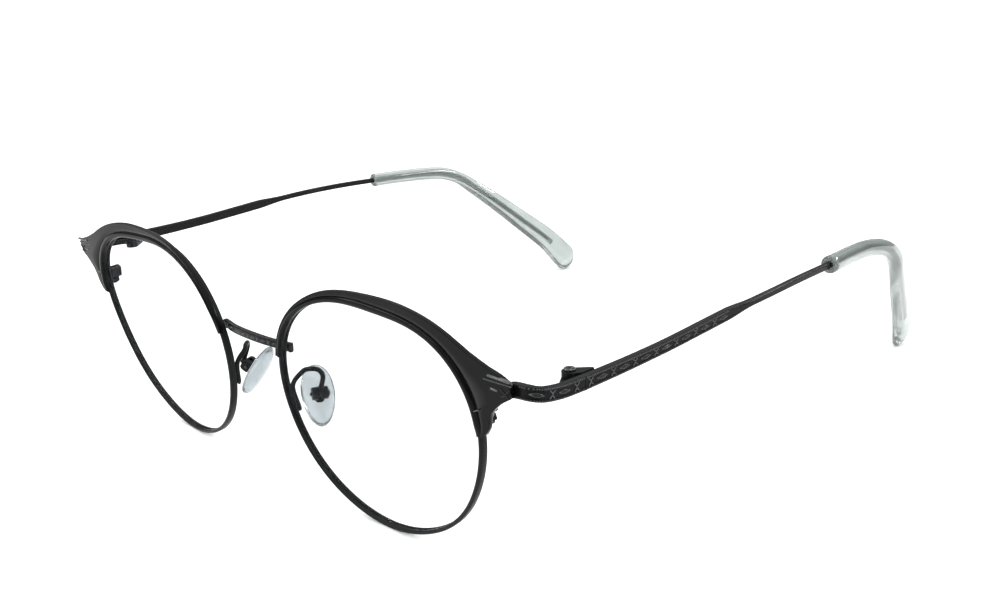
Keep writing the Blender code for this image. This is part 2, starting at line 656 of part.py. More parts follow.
for side, word in SIDES:
    build_rim(side, "rim_" + word)
    build_lens(side, "lens_" + word)
    build_brow(side, "brow_trim_" + word)
    build_closing(side, word)
    build_endpiece(side, "endpiece_" + word)
    pivot = bpy.data.objects.new("temple_axis_" + word, None)
    pivot.location = (side * HINGE_X * MM, (HINGE_Y + ROW_SHIFT[1]) * MM, (HINGE_Z + ROW_SHIFT[2]) * MM)
    bpy.context.scene.collection.objects.link(pivot)
    moving = [build_hinge(side, word), build_temple_arm(side, "temple_arm_" + word), build_tip(side, "temple_tip_" + word)]
    for piece in moving:
        piece.location = (0.0, 0.0, 0.0)
        piece.parent = pivot
    for helper in ("guide_prong_", "guide_web_"):
        obj = bpy.data.objects[helper + word]
        obj.location = (0.0, 0.0, 0.0)
        obj.parent = pivot
    build_pad(side, word)
build_bridge()
bpy.context.view_layer.update()
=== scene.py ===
import json
import math

import bpy
import bmesh
import numpy as np
from mathutils import Matrix, Vector

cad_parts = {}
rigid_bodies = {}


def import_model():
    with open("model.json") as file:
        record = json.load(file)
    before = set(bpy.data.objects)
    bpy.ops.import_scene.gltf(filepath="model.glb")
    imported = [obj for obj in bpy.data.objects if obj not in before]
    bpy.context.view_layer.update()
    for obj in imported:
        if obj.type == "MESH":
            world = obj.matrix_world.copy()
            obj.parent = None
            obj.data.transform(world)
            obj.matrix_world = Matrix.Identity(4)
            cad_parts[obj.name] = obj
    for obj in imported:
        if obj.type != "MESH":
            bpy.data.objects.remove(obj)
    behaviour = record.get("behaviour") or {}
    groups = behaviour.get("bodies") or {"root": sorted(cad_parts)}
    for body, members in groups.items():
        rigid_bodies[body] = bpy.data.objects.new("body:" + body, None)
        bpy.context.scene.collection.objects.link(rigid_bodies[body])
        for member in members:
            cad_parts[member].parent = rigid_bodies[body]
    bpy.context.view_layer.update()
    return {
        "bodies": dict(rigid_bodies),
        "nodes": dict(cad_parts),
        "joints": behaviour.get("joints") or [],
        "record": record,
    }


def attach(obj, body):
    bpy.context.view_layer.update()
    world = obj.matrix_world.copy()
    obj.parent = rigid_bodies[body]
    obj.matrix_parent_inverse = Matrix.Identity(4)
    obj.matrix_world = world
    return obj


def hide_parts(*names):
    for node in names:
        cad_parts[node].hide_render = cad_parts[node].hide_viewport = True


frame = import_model()


MM = 0.001

# ---------------------------------------------------------------- driving dimensions (mm)
ROW_SHIFT = (0.0, -71.43, 0.124)    # moves the lens plane so that the whole object is centred on y = 0
SOLDER_GAP = 0.04                  # clearance left between pieces that are soldered or glued together

# lens planes
LENS_CENTRE = (34.07, 0.0, 21.787)  # boxing centre of the wearer's left lens
FACE_WRAP = math.radians(2.17)     # each lens plane turns back towards the temple
PANTO = math.radians(5.53)         # lens planes lean, lower edge towards the cheek
# aperture radius as a short cosine/sine series about the lens centre, k = 2..6
AP_R0 = 22.59
AP_COS = (2.114, 0.072, -0.244, -0.158, -0.090)
AP_SIN = (0.773, 0.954, 0.235, 0.074, -0.036)
RIM_DISH = 0.0037                  # the rim edge lies off its plane by this times (r^2 - AP_R0^2)

# rims
RIM_T = 0.75                       # radial thickness of the eyewire
RIM_D = 1.45                       # front-to-back depth of the eyewire
RIM_GROOVE = 0.24                  # depth of the V groove that holds the lens
SPLIT_PHI = 15.0                   # where the eyewire is cut for the closing blocks, degrees
SPLIT_GAP = 0.12
RIM_STATIONS = 54

# lenses
LENS_THICK = 1.3
LENS_SAG = 1.5

# brow trims: (angle about the lens centre in degrees, width beyond the aperture)
BROW_WIDTHS = (
    (167.0, 1.15), (158.0, 1.25), (145.0, 1.35), (130.0, 1.58), (118.0, 1.90), (104.0, 2.16),
    (92.0, 2.45), (80.0, 2.85), (69.0, 3.15), (58.0, 3.30), (50.0, 3.58), (44.0, 3.93),
    (39.0, 4.45), (35.0, 5.25), (32.0, 6.20), (29.2, 7.40), (26.6, 9.00), (24.2, 10.25),
    (23.4, 10.40), (20.3, 9.25), (19.7, 7.50), (18.6, 5.90), (17.3, 4.65), (15.2, 3.80),
    (12.3, 3.20), (10.0, 2.30), (9.0, 1.40),
)
BROW_BACK = 0.20                   # the flange behind the flat band reaches back to this offset
BROW_FRONT = 1.12                  # front of the flat band
BEAD_FRONT = 1.38                  # crest of the rounded bead beside the lens
BEAD_W = 0.85

# endpiece and temple arm
BAR_X = 70.50                      # centre plane of the straight part of the bar
BAR_T = 1.30                       # bar thickness
BAR_H0, BAR_H1 = 2.20, 1.95        # bar height at the endpiece and at its rear end
HINGE_X, HINGE_Y, HINGE_Z = 67.90, 10.40, 33.65
BUTT_GAP = 0.10                    # gap between endpiece and temple when open
BAR_END_Y = 49.5                   # the engraved bar stops here
WIRE_R = 0.72                      # core wire radius behind the bar
KNUCKLE_R = 1.28
BORE_R = 0.60
SCREW_R = 0.50

# temple tips
TIP_START_Y = 82.4
TIP_R = 1.74
TIP_BORE_R = 0.82
TIP_GROW = 2.35                    # extra half width at the tip's end
TIP_TWIST = math.radians(20)       # the broad end turns to lie against the head

# bridge
BRIDGE_H, BRIDGE_T = 1.50, 1.05

# nose pads
PAD_CENTRE = (9.75, 5.0, 17.3)
PAD_AXIS = (0.480, -0.257, -0.838)     # long axis, top to bottom
PAD_FACE = (-0.769, 0.336, -0.544)     # outward normal of the face that rests on the nose
PAD_L, PAD_W, PAD_T = 11.8, 6.3, 2.3
PAD_BOX = (2.9, 2.2, 1.9)              # along the screw, along the pad, away from the pad
ARM_R = 0.46                           # radius of the pad arm's wire
ARM_LINE = ((9.45, 2.05, 22.7), (10.3, 2.95, 23.35), (11.6, 4.2, 23.2), (12.45, 4.6, 22.0))



def vec(p):
    return np.array(p, float)


def unit(v):
    v = np.array(v, float)
    return v / np.linalg.norm(v)


def loft(rings, closed=False):
    """Points and faces of a surface through rings of equal length. An open one gets end caps."""
    n = len(rings[0])
    pts = [p for ring in rings for p in ring]
    faces = []
    m = len(rings)
    for i in range(m if closed else m - 1):
        j = (i + 1) % m
        for k in range(n):
            l = (k + 1) % n
            faces.append((i * n + k, i * n + l, j * n + l, j * n + k))
    if not closed:
        faces.append(tuple(range(n))[::-1])
        faces.append(tuple((m - 1) * n + k for k in range(n)))
    return pts, faces


def mirrored(points, side):
    return [(side * p[0], p[1], p[2]) for p in points]


def spline(points, per=6):
    """Points of a smooth curve through the given ones (Catmull-Rom with end tangents)."""
    P = [vec(p) for p in points]
    P = [2 * P[0] - P[1]] + P + [2 * P[-1] - P[-2]]
    out = []
    for i in range(1, len(P) - 2):
        a, b, c, d = P[i - 1], P[i], P[i + 1], P[i + 2]
        for s in range(per):
            t = s / per
            out.append(0.5 * ((2 * b) + (c - a) * t + (2 * a - 5 * b + 4 * c - d) * t * t
                              + (3 * b - a - 3 * c + d) * t ** 3))
    out.append(P[-2])
    return out


def frames(path, up=(0.0, 0.0, 1.0)):
    """(point, side, height, tangent) along a path; height stays as close to up as the path allows."""
    out = []
    for i, p in enumerate(path):
        t = unit(path[min(i + 1, len(path) - 1)] - path[max(i - 1, 0)])
        s = unit(np.cross(t, vec(up)))
        out.append((p, s, np.cross(s, t), t))
    return out


def chamfered(w, h, c):
    """Eight corners of a rectangle w by h with its corners cut by c, in (side, height)."""
    w, h = w / 2, h / 2
    return [(w, -h + c), (w, h - c), (w - c, h), (-w + c, h), (-w, h - c), (-w, -h + c), (-w + c, -h), (w - c, -h)]


def oval(a, b, n, power=2.0):
    out = []
    for k in range(n):
        t = 2 * math.pi * (k + 0.5) / n
        c, s = math.cos(t), math.sin(t)
        out.append((a * math.copysign(abs(c) ** (2 / power), c), b * math.copysign(abs(s) ** (2 / power), s)))
    return out


def section(frame, outline):
    p, s, h, _ = frame
    return [tuple(p + s * a + h * b) for a, b in outline]


# ---------------------------------------------------------------- lens planes
U = vec((math.cos(FACE_WRAP), math.sin(FACE_WRAP), 0.0))
V = vec((0.0, -math.sin(PANTO), math.cos(PANTO)))
V = unit(V - U * (U @ V))
N = np.cross(U, V)                 # points forward, out of the lens


def aperture(phi):
    r = AP_R0
    for i in range(5):
        k = i + 2
        r += AP_COS[i] * math.cos(k * phi) + AP_SIN[i] * math.sin(k * phi)
    return r


def lens_point(phi, rho, d, dish=True):
    """Point at angle phi, rho beyond the aperture edge, d in front of the rim's middle."""
    r0 = aperture(phi)
    bend = RIM_DISH * (r0 * r0 - AP_R0 * AP_R0) if dish else 0.0
    r = r0 + rho
    return tuple(vec(LENS_CENTRE) + U * r * math.cos(phi) + V * r * math.sin(phi) + N * (d + bend))


def lens_frame(phi, rho, d):
    """(point, radial, tangential, forward) at a place on the rim."""
    p = vec(lens_point(phi, rho, d))
    radial = U * math.cos(phi) + V * math.sin(phi)
    tang = -U * math.sin(phi) + V * math.cos(phi)
    return p, radial, tang, N


SIDES = ((1, "left"), (-1, "right"))


def rim_ends():
    half_gap = SPLIT_GAP / 2 / 26
    return math.radians(SPLIT_PHI) + half_gap, math.radians(SPLIT_PHI + 360) - half_gap


def brow_width(deg):
    table = BROW_WIDTHS
    for (a, wa), (b, wb) in zip(table[:-1], table[1:]):
        if b <= deg <= a:
            return wa + (wb - wa) * (a - deg) / (a - b)
    return table[-1][1]


# ---------------------------------------------------------------- temple line, shared by bar, wire and tip
TEMPLE_LINE = (
    (BAR_X, HINGE_Y + BUTT_GAP / 2, 33.76), (BAR_X, 20.0, 33.84), (BAR_X, 30.0, 34.15), (BAR_X, 40.0, 34.75),
    (BAR_X, BAR_END_Y, 35.35), (70.45, 60.0, 35.75), (69.85, 71.0, 35.85), (68.9, TIP_START_Y, 35.6),
    (67.75, 92.0, 35.3), (66.9, 100.0, 34.75), (66.75, 106.0, 33.75), (66.4, 111.2, 31.7), (65.3, 116.0, 28.3),
    (62.95, 122.0, 23.35), (60.1, 129.2, 17.0), (57.0, 137.3, 9.7), (54.95, 142.75, 3.35),
)
ENDPIECE_LINE_WORLD = ((69.2, 0.12, 35.0), (70.1, 0.95, 34.75), (70.45, 2.6, 34.35), (BAR_X, 6.0, 33.90),
                       (BAR_X, HINGE_Y - BUTT_GAP / 2, 33.76))
TIP_DEPTH = len(TEMPLE_LINE) - 1
PER = 2
TEMPLE_PATH = spline(TEMPLE_LINE, PER)
TEMPLE_FRAMES = frames(TEMPLE_PATH)
BAR_LAST = 4 * PER                 # index of the last full bar section
TIP_FIRST = 7 * PER                # index where the tip starts
WIRE_LAST = 15 * PER               # index where the core wire ends


def twisted(frame, angle):
    """The frame turned about its tangent, its height leaning towards its side."""
    p, s, h, t = frame
    c, d = math.cos(angle), math.sin(angle)
    return p, s * c - h * d, h * c + s * d, t


# ---------------------------------------------------------------- plates with a hole, and turned screws
def holed_plate(outline, hole_r, z0, z1, place, holes=10):
    """Points and faces of a convex outline (around 0,0) with a round hole, from z0 to z1, put in place by place(x, y, z)."""
    angles = [2 * math.pi * k / holes for k in range(holes)]
    angles += [math.atan2(y, x) % (2 * math.pi) for x, y in outline]
    angles.sort()
    keep = []
    for a in angles:
        if not keep or a - keep[-1] > 0.02:
            keep.append(a)
    if 2 * math.pi - keep[-1] + keep[0] < 0.02:
        keep.pop()

    def reach(a):
        c, s = math.cos(a), math.sin(a)
        best = 0.0
        m = len(outline)
        for i in range(m):
            x0, y0 = outline[i]
            x1, y1 = outline[(i + 1) % m]
            dx, dy = x1 - x0, y1 - y0
            det = c * dy - s * dx
            if abs(det) < 1e-9:
                continue
            r = (x0 * dy - y0 * dx) / det
            u = (x0 * s - y0 * c) / det
            if r > 0 and -1e-6 <= u <= 1 + 1e-6:
                best = max(best, r)
        return best

    n = len(keep)
    pts = []
    for z in (z0, z1):
        for a in keep:
            r = reach(a)
            pts.append(place(r * math.cos(a), r * math.sin(a), z))
        for a in keep:
            pts.append(place(hole_r * math.cos(a), hole_r * math.sin(a), z))
    faces = []
    for k in range(n):
        l = (k + 1) % n
        faces.append((k, l, 2 * n + l, 2 * n + k))
        faces.append((n + k, 3 * n + k, 3 * n + l, n + l))
        faces.append((k, n + k, n + l, l))
        faces.append((2 * n + k, 2 * n + l, 3 * n + l, 3 * n + k))
    return pts, faces


def hull(points):
    """Convex hull, counter-clockwise."""
    pts = sorted(set((round(x, 5), round(y, 5)) for x, y in points))

    def half(seq):
        out = []
        for p in seq:
            while len(out) > 1 and ((out[-1][0] - out[-2][0]) * (p[1] - out[-2][1])
                                    - (out[-1][1] - out[-2][1]) * (p[0] - out[-2][0])) <= 0:
                out.pop()
            out.append(p)
        return out[:-1]

    return half(pts) + half(pts[::-1])


def turned(profile, place, n=10):
    """A turned solid: profile is (radius, z) from one end to the other, its ends near the axis."""
    rings = []
    for r, z in profile:
        rings.append([place(r * math.cos(2 * math.pi * k / n), r * math.sin(2 * math.pi * k / n), z) for k in range(n)])
    return loft(rings)


def slotted_head(top, radius, shank_r, end):
    """Profile of a cheese-head screw from its point (z = end) up to the top of its head."""
    return [(shank_r * 0.6, end), (shank_r, end + 0.15), (shank_r, top - 0.36), (radius, top - 0.36),
            (radius, top - 0.1), (radius * 0.84, top), (radius * 0.3, top)]



# ---------------------------------------------------------------- materials
def nodes_of(name):
    m = bpy.data.materials.new(name)
    m.use_nodes = True
    return m, m.node_tree, m.node_tree.nodes["Principled BSDF"]


def noise(nt, scale, detail=4.0, stretch=None):
    tex = nt.nodes.new("ShaderNodeTexCoord")
    n = nt.nodes.new("ShaderNodeTexNoise")
    n.inputs["Scale"].default_value = scale
    n.inputs["Detail"].default_value = detail
    if stretch:
        mp = nt.nodes.new("ShaderNodeMapping")
        mp.inputs["Scale"].default_value = stretch
        nt.links.new(tex.outputs["Object"], mp.inputs["Vector"])
        nt.links.new(mp.outputs["Vector"], n.inputs["Vector"])
    else:
        nt.links.new(tex.outputs["Object"], n.inputs["Vector"])
    return n


def ramp(nt, source, a, b, ca, cb):
    r = nt.nodes.new("ShaderNodeValToRGB")
    r.color_ramp.elements[0].position = a
    r.color_ramp.elements[1].position = b
    r.color_ramp.elements[0].color = (*ca, 1)
    r.color_ramp.elements[1].color = (*cb, 1)
    nt.links.new(source, r.inputs["Fac"])
    return r.outputs["Color"]


def metal(name, dark, light, rough, metallic, edge, coat=0.0, grain=2500.0, bump=0.05, stretch=None, spec=0.22):
    """Plated or lacquered metal: clouded colour, sharp edges painted lighter as a painted highlight, fine grain in
    roughness and surface.
    """
    m, nt, b = nodes_of(name)
    cloud = noise(nt, 420.0, 5.0)
    base = ramp(nt, cloud.outputs["Fac"], 0.35, 0.68, dark, light)
    geo = nt.nodes.new("ShaderNodeNewGeometry")
    # sharp edges found by pointiness take the lighter edge colour: a painted highlight
    edge_highlight_mask = ramp(nt, geo.outputs["Pointiness"], 0.515, 0.60, (0, 0, 0), (1, 1, 1))
    mix = nt.nodes.new("ShaderNodeMix")
    mix.data_type = "RGBA"
    nt.links.new(edge_highlight_mask, mix.inputs["Factor"])
    nt.links.new(base, mix.inputs["A"])
    mix.inputs["B"].default_value = (*edge, 1)
    nt.links.new(mix.outputs["Result"], b.inputs["Base Color"])
    fine = noise(nt, grain, 3.0, stretch)
    rr = ramp(nt, fine.outputs["Fac"], 0.3, 0.7, (rough * 0.82,) * 3, (rough * 1.22,) * 3)
    nt.links.new(rr, b.inputs["Roughness"])
    bp = nt.nodes.new("ShaderNodeBump")
    bp.inputs["Strength"].default_value = bump
    bp.inputs["Distance"].default_value = 0.00002
    nt.links.new(fine.outputs["Fac"], bp.inputs["Height"])
    nt.links.new(bp.outputs["Normal"], b.inputs["Normal"])
    b.inputs["Metallic"].default_value = metallic
    b.inputs["Coat Weight"].default_value = coat
    b.inputs["Coat Roughness"].default_value = 0.06
    b.inputs["Specular IOR Level"].default_value = spec
    return m


# the last colour given to each metal is its edge colour, a painted highlight on sharp edges
SATIN = metal("satin_charcoal_metal", (0.004, 0.0042, 0.0045), (0.008, 0.0083, 0.0086), 0.34, 0.0, (0.018, 0.019, 0.020), spec=0.07)
GLOSS = metal("gloss_black_metal", (0.0015, 0.0015, 0.0017), (0.003, 0.003, 0.0033), 0.15, 0.0, (0.006, 0.006, 0.007), coat=0.06, grain=1500.0, bump=0.015, spec=0.05)
ENGRAVED = metal("engraved_black_metal", (0.003, 0.003, 0.0035), (0.006, 0.006, 0.0065), 0.26, 0.0, (0.016, 0.016, 0.017), spec=0.07)
# lighter copy of the engraved black metal for the raised ornament: partly a glossier, more metallic finish, partly a
# painted highlight in its lighter colour
BRIGHT = metal("painted_highlight_ornament_metal", (0.006, 0.006, 0.0065), (0.018, 0.0185, 0.0195), 0.20, 0.4, (0.09, 0.093, 0.096), spec=0.15)
STEEL = metal("blackened_screw_steel", (0.012, 0.012, 0.013), (0.03, 0.03, 0.032), 0.27, 0.8, (0.12, 0.12, 0.125), stretch=(1, 1, 12))


def lens_material():
    """Clear lens with a faint coating reflection painted into its colour, stronger where the surface is seen edge-on.
    """
    m, nt, b = nodes_of("clear_lens")
    lw = nt.nodes.new("ShaderNodeLayerWeight")
    lw.inputs["Blend"].default_value = 0.35
    # base colour lightens and turns bluish where the lens is seen at a grazing angle: a painted reflection of the
    # coating
    painted_coating_reflection = ramp(nt, lw.outputs["Facing"], 0.2, 0.95, (0.05, 0.06, 0.06), (0.10, 0.13, 0.18))
    nt.links.new(painted_coating_reflection, b.inputs["Base Color"])
    dust = noise(nt, 900.0, 3.0)
    rr = ramp(nt, dust.outputs["Fac"], 0.45, 0.85, (0.015,) * 3, (0.05,) * 3)
    nt.links.new(rr, b.inputs["Roughness"])
    b.inputs["Alpha"].default_value = 0.03
    b.inputs["IOR"].default_value = 1.45
    b.inputs["Specular IOR Level"].default_value = 0.4
    return m


def clear_material(name, thin, thick, rough, transmission, ior, cloud_scale, bump):
    m, nt, b = nodes_of(name)
    cloud = noise(nt, cloud_scale, 4.0)
    c = ramp(nt, cloud.outputs["Fac"], 0.35, 0.7, thin, thick)
    nt.links.new(c, b.inputs["Base Color"])
    fine = noise(nt, 1400.0, 3.0)
    rr = ramp(nt, fine.outputs["Fac"], 0.3, 0.75, (rough * 0.7,) * 3, (rough * 1.5,) * 3)
    nt.links.new(rr, b.inputs["Roughness"])
    bp = nt.nodes.new("ShaderNodeBump")
    bp.inputs["Strength"].default_value = bump
    bp.inputs["Distance"].default_value = 0.00004
    nt.links.new(fine.outputs["Fac"], bp.inputs["Height"])
    nt.links.new(bp.outputs["Normal"], b.inputs["Normal"])
    b.inputs["Transmission Weight"].default_value = transmission
    b.inputs["IOR"].default_value = ior
    return m


CLEAR = lens_material()
PAD_MAT = clear_material("clear_pad_silicone", (0.38, 0.43, 0.45), (0.50, 0.55, 0.57), 0.06, 0.85, 1.38, 300.0, 0.06)
TIP_MAT = clear_material("grey_green_translucent_tip", (0.43, 0.48, 0.46), (0.52, 0.57, 0.55), 0.06, 0.80, 1.44, 180.0, 0.04)


# ---------------------------------------------------------------- pieces
PIECES = {}


def add(name, points, faces, mat, body, stands_for=(), slot=None, smooth=35.0, bevel=0.0, segments=2):
    shift = vec(ROW_SHIFT)
    pts = [tuple((vec(p) + shift) * MM) for p in points]
    mesh = bpy.data.meshes.new(name)
    mesh.from_pydata(pts, [], [list(f) for f in faces])
    bm = bmesh.new()
    bm.from_mesh(mesh)
    bmesh.ops.remove_doubles(bm, verts=bm.verts, dist=2e-7)
    bmesh.ops.recalc_face_normals(bm, faces=bm.faces)
    if bm.calc_volume(signed=True) < 0:
        bmesh.ops.reverse_faces(bm, faces=bm.faces)
    bm.to_mesh(mesh)
    bm.free()
    mesh.shade_smooth()
    mesh.set_sharp_from_angle(angle=math.radians(smooth))
    mesh.materials.append(mat)
    obj = bpy.data.objects.new(name, mesh)
    bpy.context.scene.collection.objects.link(obj)
    if bevel:
        mod = obj.modifiers.new("edge", "BEVEL")
        mod.width = bevel * MM
        mod.segments = segments
        mod.limit_method = "ANGLE"
        mod.angle_limit = math.radians(30)
        mod.harden_normals = False
    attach(obj, body)
    if stands_for:
        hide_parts(*stands_for)
    PIECES[name] = obj
    return obj


def merge(parts):
    pts, faces = [], []
    for p, f in parts:
        base = len(pts)
        pts += list(p)
        faces += [tuple(base + i for i in face) for face in f]
    return pts, faces


def bead(centre, e1, e2, up, r, lift=0.75):
    """A small dome of radius r standing on the plane e1, e2."""
    rings = []
    for s, h in ((1.0, -0.35), (0.92, 0.35), (0.55, 0.8)):
        rings.append([tuple(centre + e1 * r * s * math.cos(t) + e2 * r * s * math.sin(t) + up * r * h * lift)
                      for t in (2 * math.pi * k / 7 for k in range(7))])
    return loft(rings)


def boss(centre, e1, e2, up, half_l, half_w, h, n=14, power=1.35):
    """A boat-shaped raised boss."""
    rings = []
    for s, z in ((1.0, -0.12), (0.93, h * 0.45), (0.72, h * 0.85), (0.35, h)):
        rings.append([tuple(centre + e1 * x * s + e2 * y * s + up * z) for x, y in oval(half_l, half_w, n, power)])
    return loft(rings)


def stroke(p, q, up, w, h):
    """A small raised stroke from p to q."""
    d = unit(q - p)
    s = np.cross(up, d)
    rings = []
    for c, k in ((p - d * w * 0.4, 0.5), (p, 1.0), (q, 1.0), (q + d * w * 0.4, 0.5)):
        rings.append([tuple(c + s * w * a * k + up * (b * h * (1.0 if b < 0 else k))) for a, b in ((-0.5, -0.6), (0.5, -0.6), (0.32, 0.8), (0, 1.0), (-0.32, 0.8))])
    return loft(rings)


def ab_point(a, b, d):
    """Point at lens coordinates (a, b) mm from the lens centre, d in front of the rim's middle."""
    phi = math.atan2(b, a)
    r0 = aperture(phi)
    bend = RIM_DISH * (r0 * r0 - AP_R0 * AP_R0)
    return vec(LENS_CENTRE) + U * a + V * b + N * (d + bend)


def ident(side, p):
    return (side * p[0], p[1], p[2])


def make_rim(side, word):
    t, h, g = RIM_T, RIM_D / 2, RIM_GROOVE
    prof = [(0.0, -h + 0.16), (0.0, -0.24), (g, 0.0), (0.0, 0.24), (0.0, h - 0.16), (0.05, h - 0.05), (0.16, h), (t - 0.26, h), (t - 0.08, h - 0.07),
            (t, h - 0.25), (t, -h + 0.25), (t - 0.08, -h + 0.07), (t - 0.26, -h), (0.16, -h), (0.05, -h + 0.05)]
    a0, a1 = rim_ends()
    n = 216
    rings = []
    for i in range(n + 1):
        phi = a0 + (a1 - a0) * i / n
        rings.append(mirrored([lens_point(phi, r, d) for r, d in prof], side))
    add("eyewire_" + word, *loft(rings), SATIN, "front", ["rim_" + word], "satin_charcoal_metal", smooth=50)


def make_lens(side, word):
    n = 120
    h = LENS_THICK / 2
    c = vec(LENS_CENTRE)

    def dome(phi, r, d):
        r0 = aperture(phi)
        bend = RIM_DISH * (r0 * r0 - AP_R0 * AP_R0)
        share = min(1.0, r / r0)
        return tuple(c + U * r * math.cos(phi) + V * r * math.sin(phi) + N * (d + bend * share ** 3 + LENS_SAG * (1 - share ** 2)))

    phis = [2 * math.pi * k / n for k in range(n)]
    rings = [[dome(p, aperture(p) * s, h) for p in phis] for s in (0.02, 0.2, 0.4, 0.6, 0.8, 0.93)]
    rings.append([dome(p, aperture(p) - 0.10, h * 0.55) for p in phis])
    rings.append([dome(p, aperture(p) + RIM_GROOVE - 0.12, 0.0) for p in phis])
    rings.append([dome(p, aperture(p) - 0.10, -h * 0.55) for p in phis])
    rings += [[dome(p, aperture(p) * s, -h) for p in phis] for s in (0.93, 0.8, 0.6, 0.4, 0.2, 0.02)]
    add("lens_glass_" + word, *loft([mirrored(r, side) for r in rings]), CLEAR, "front", ["lens_" + word], "clear_lens", smooth=60)


def soft_width(deg):
    if deg < 36.0:
        return brow_width(deg)
    span = min(4.0, (deg - 34.0) / 2, 167.0 - deg)
    if span < 0.3:
        return brow_width(deg)
    return sum(brow_width(deg + span * s) for s in (-1, -0.5, 0, 0.5, 1)) / 5


def make_brow(side, word):
    degs = sorted(set([a for a, _ in BROW_WIDTHS if a < 36.0] + list(np.arange(36.0, 167.01, 1.6)) + list(np.arange(24.5, 36.0, 1.0))
                      + [167.0, 22.5, 21.5, 14.0, 11.2, 23.9]), reverse=True)
    seat = RIM_D / 2 + 0.02
    out = RIM_T + 0.02
    rings = []
    for deg in degs:
        w = soft_width(deg)
        phi = math.radians(deg)
        fade = max(0.0, min(1.0, (deg - 9.0) / 4.0, (167.0 - deg) / 12.0))
        crest = BROW_FRONT + (BEAD_FRONT - BROW_FRONT) * fade
        f = BROW_FRONT
        g = f - 0.10 * fade
        e = max(1.0, min(1.55, w * 0.62))
        prof = [(-0.03, seat), (-0.04, crest - 0.42), (0.03, crest - 0.24)]
        prof += [(e * r, crest - z) for r, z in ((0.10, 0.12), (0.22, 0.035), (0.36, 0.0), (0.50, 0.01), (0.64, 0.055), (0.76, 0.13))]
        prof += [(e * 0.84, g), (e * 0.90, g + 0.02), (e * 0.97, f - 0.01)]
        k = max(0.0, w - e * 1.06)
        o = max(e + 0.10, w)
        prof += [(e * 1.0 + k * 0.4, f + 0.01), (o - 0.10, f - 0.01), (o - 0.04, f - 0.07), (o, f - 0.22)]
        prof += [(o, BROW_BACK + 0.18), (w - 0.07, BROW_BACK + 0.05), (w - 0.2, BROW_BACK), (out + 0.02, BROW_BACK), (out, seat)]
        if w < 1.3:
            prof = [(min(r, w), d) for r, d in prof]
        rings.append(mirrored([lens_point(phi, r, d) for r, d in prof], side))
    add("brow_plate_" + word, *loft(rings), GLOSS, "front", ["brow_trim_" + word], "gloss_black_metal", smooth=42)

    # ornament on the lug: a raised bright bar, a row of beads, a dash and the two branches that run on to the endpiece
    f = BROW_FRONT
    parts = []

    def surf(a, b, d=f):
        return ab_point(a, b, d)

    p, q = surf(29.3, 15.35), surf(33.5, 15.15)
    parts.append(stroke(p, q, N, 0.46, 0.26))
    p, q = surf(29.6, 13.30), surf(30.7, 13.18)
    parts.append(stroke(p, q, N, 0.40, 0.16))
    n = 17
    for i in range(n):
        a = 28.3 + (33.6 - 28.3) * i / (n - 1)
        parts.append(bead(surf(a, 14.52), U, V, N, 0.14))
    p, q = surf(25.55, 8.55), surf(26.45, 8.95)
    parts.append(stroke(p, q, N, 0.26, 0.34))
    pts, faces = merge(parts)
    add("lug_ornament_" + word, mirrored(pts, side), faces, BRIGHT, "front", (), "engraved_black_metal", smooth=60)
    parts = []
    for a0, b0, a1, b1 in ((31.5, 13.7, 32.4, 13.05), (32.4, 13.05, 33.2, 13.75), (31.6, 12.45, 32.4, 12.9), (32.4, 12.9, 33.1, 12.4)):
        parts.append(stroke(surf(a0, b0), surf(a1, b1), N, 0.24, 0.14))
    pts, faces = merge(parts)
    add("lug_cross_" + word, mirrored(pts, side), faces, ENGRAVED, "front", (), "engraved_black_metal", smooth=60)


# ---------------------------------------------------------------- engraved bars
def bar_outline(w, h, depth):
    """Outline of the engraved bar, (outward, up): a recessed channel between two rails on its outer face."""
    a, b = w / 2, h / 2
    rail = 0.40
    return [(a - 0.05, -b + 0.05), (a, -b + 0.12), (a, -b + rail), (a - depth, -b + rail + 0.10), (a - depth, b - rail - 0.10), (a, b - rail), (a, b - 0.12), (a - 0.05, b - 0.05),
            (a - 0.13, b), (-a + 0.13, b), (-a, b - 0.13), (-a, -b + 0.13), (-a + 0.13, -b), (a - 0.13, -b)]


def resample(path, step):
    """Evenly spaced points along a path."""
    P = np.array(path)
    seg = np.r_[0, np.cumsum(np.linalg.norm(np.diff(P, axis=0), axis=1))]
    n = max(2, int(round(seg[-1] / step)) + 1)
    s = np.linspace(0, seg[-1], n)
    return [np.array([np.interp(v, seg, P[:, k]) for k in range(3)]) for v in s], s


def ornament(path, height, first, pitch, offset, skip_last=0.0, mark_first=True):
    """Bead rows along both rails, boat-shaped bosses and crossed strokes in the channel."""
    fine, s = resample(path, 0.05)
    fr = frames(fine)
    beads, bosses, marks = [], [], []
    total = s[-1] - skip_last
    step = 0.36
    v = first
    while v < total - 0.2:
        i = min(len(fine) - 1, int(round(v / s[-1] * (len(fine) - 1))))
        p, sd, up, t = fr[i]
        hh = height(v)
        for b in (hh / 2 - 0.22, -hh / 2 + 0.22):
            beads.append(bead(p + sd * (BAR_T / 2) + up * b, t, up, sd, 0.125))
        v += step
    v = first + offset
    k = 0
    while v < total - 0.8:
        i = min(len(fine) - 1, int(round(v / s[-1] * (len(fine) - 1))))
        p, sd, up, t = fr[i]
        c = p + sd * (BAR_T / 2 - 0.16)
        if k % 2 == (1 if mark_first else 0):
            bosses.append(boss(c, t, up, sd, 1.28, 0.40, 0.20))
        else:
            hh = height(v) / 2 - 0.50
            for x0, y0, x1, y1 in ((-0.50, hh, 0.0, 0.08), (0.50, hh, 0.0, 0.08), (-0.46, -hh, 0.0, -0.10), (0.46, -hh, 0.0, -0.10)):
                marks.append(stroke(c + t * x0 + up * y0, c + t * x1 + up * y1, sd, 0.22, 0.17))
        v += pitch / 2
        k += 1
    return beads, bosses, marks


def smooth_path(points, per):
    return spline(points, per)


END_ROOT = [lens_point(math.radians(22.4), 4.6, -0.70), lens_point(math.radians(22.0), 7.2, -0.70), lens_point(math.radians(21.8), 9.2, -0.70)]


